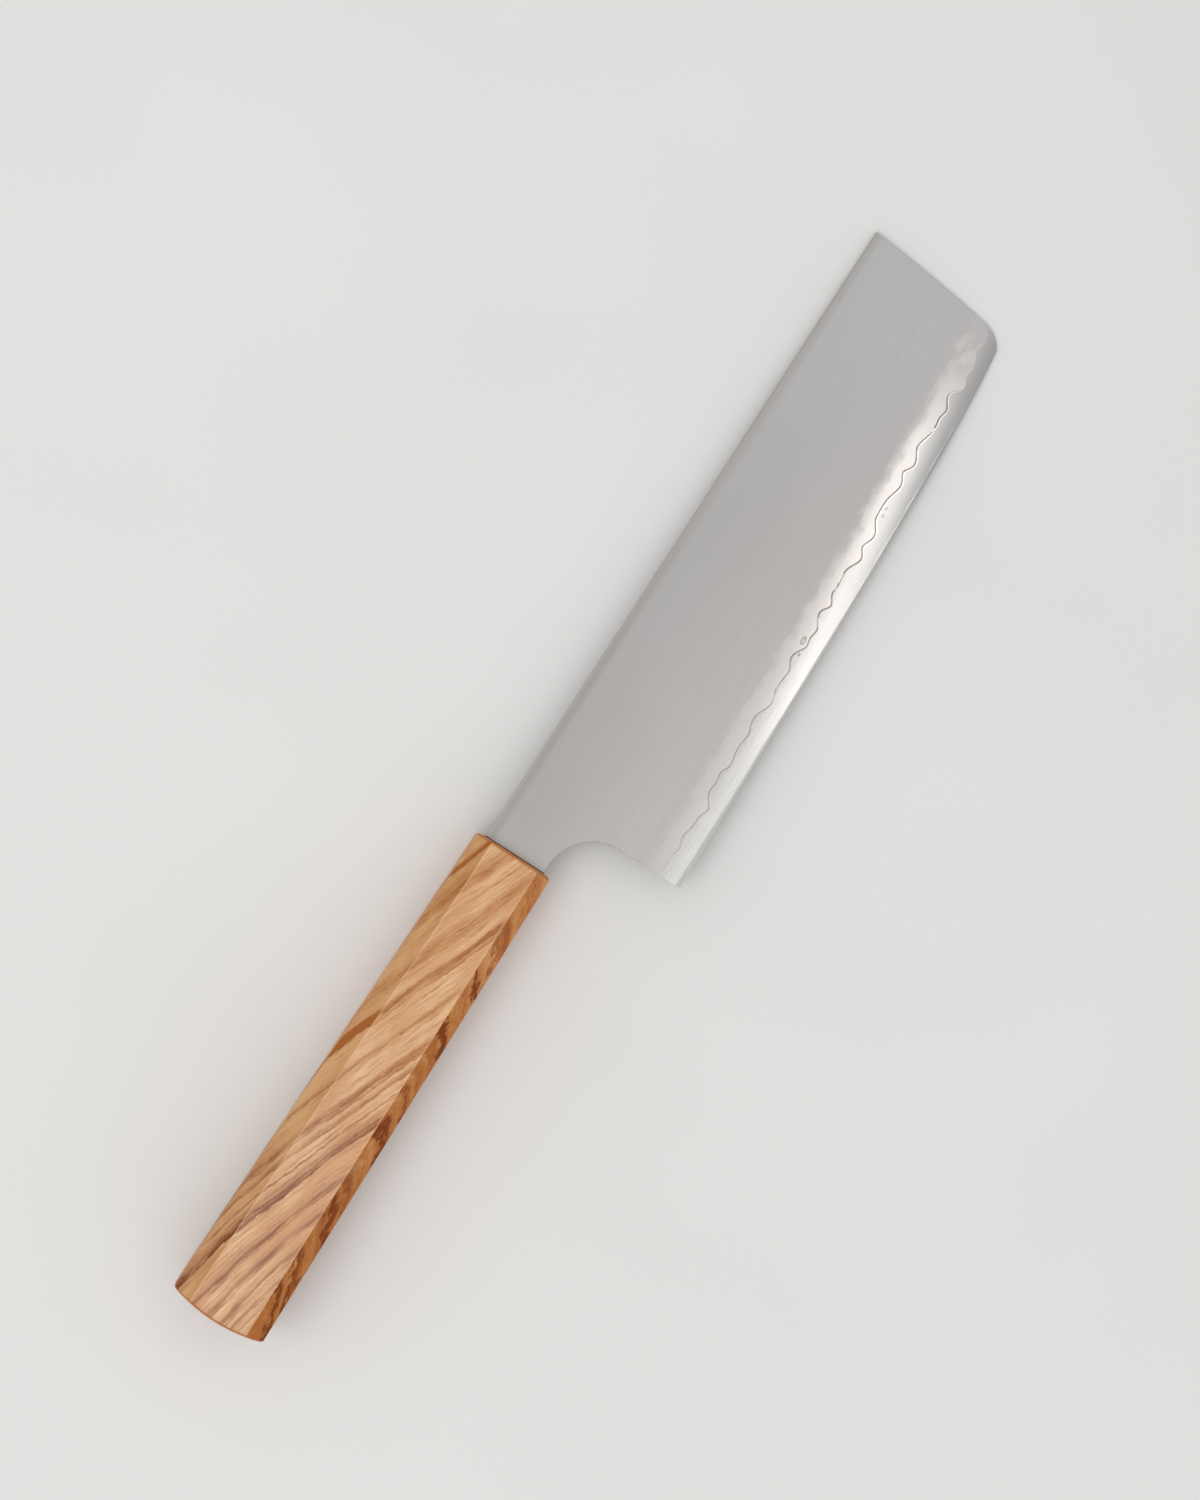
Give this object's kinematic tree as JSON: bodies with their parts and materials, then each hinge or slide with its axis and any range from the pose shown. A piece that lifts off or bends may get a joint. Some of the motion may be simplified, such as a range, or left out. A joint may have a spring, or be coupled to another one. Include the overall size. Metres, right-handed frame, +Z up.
{
  "type": "nakiri knife",
  "caption": "Laminated nakiri vegetable knife lying on its side: hard core between soft claddings, hidden tang glued into a tapered octagonal wooden handle.",
  "frame": {"origin": "centre of the bounding box's bottom face, on the table that the knife lies on", "axes": "+X along the knife from butt to nose, +Y from the cutting edge to the spine, +Z up out of the table; the blade's right face looks up"},
  "size_m": [0.3318, 0.055, 0.0262],
  "materials": {
    "core_steel": "polished hard steel, fine grinding lines down to the edge",
    "cladding_steel": "satin stainless steel with fine lengthwise grain",
    "olive_wood": "oiled wood, pale tan with brown figure along the grain",
    "adhesive": "dark cured adhesive"
  },
  "bodies": {
    "root": {"core_steel": "core_steel", "cladding_right": "cladding_steel", "cladding_left": "cladding_steel", "handle": "olive_wood", "tang_adhesive": "adhesive"}
  },
  "joints": []
}
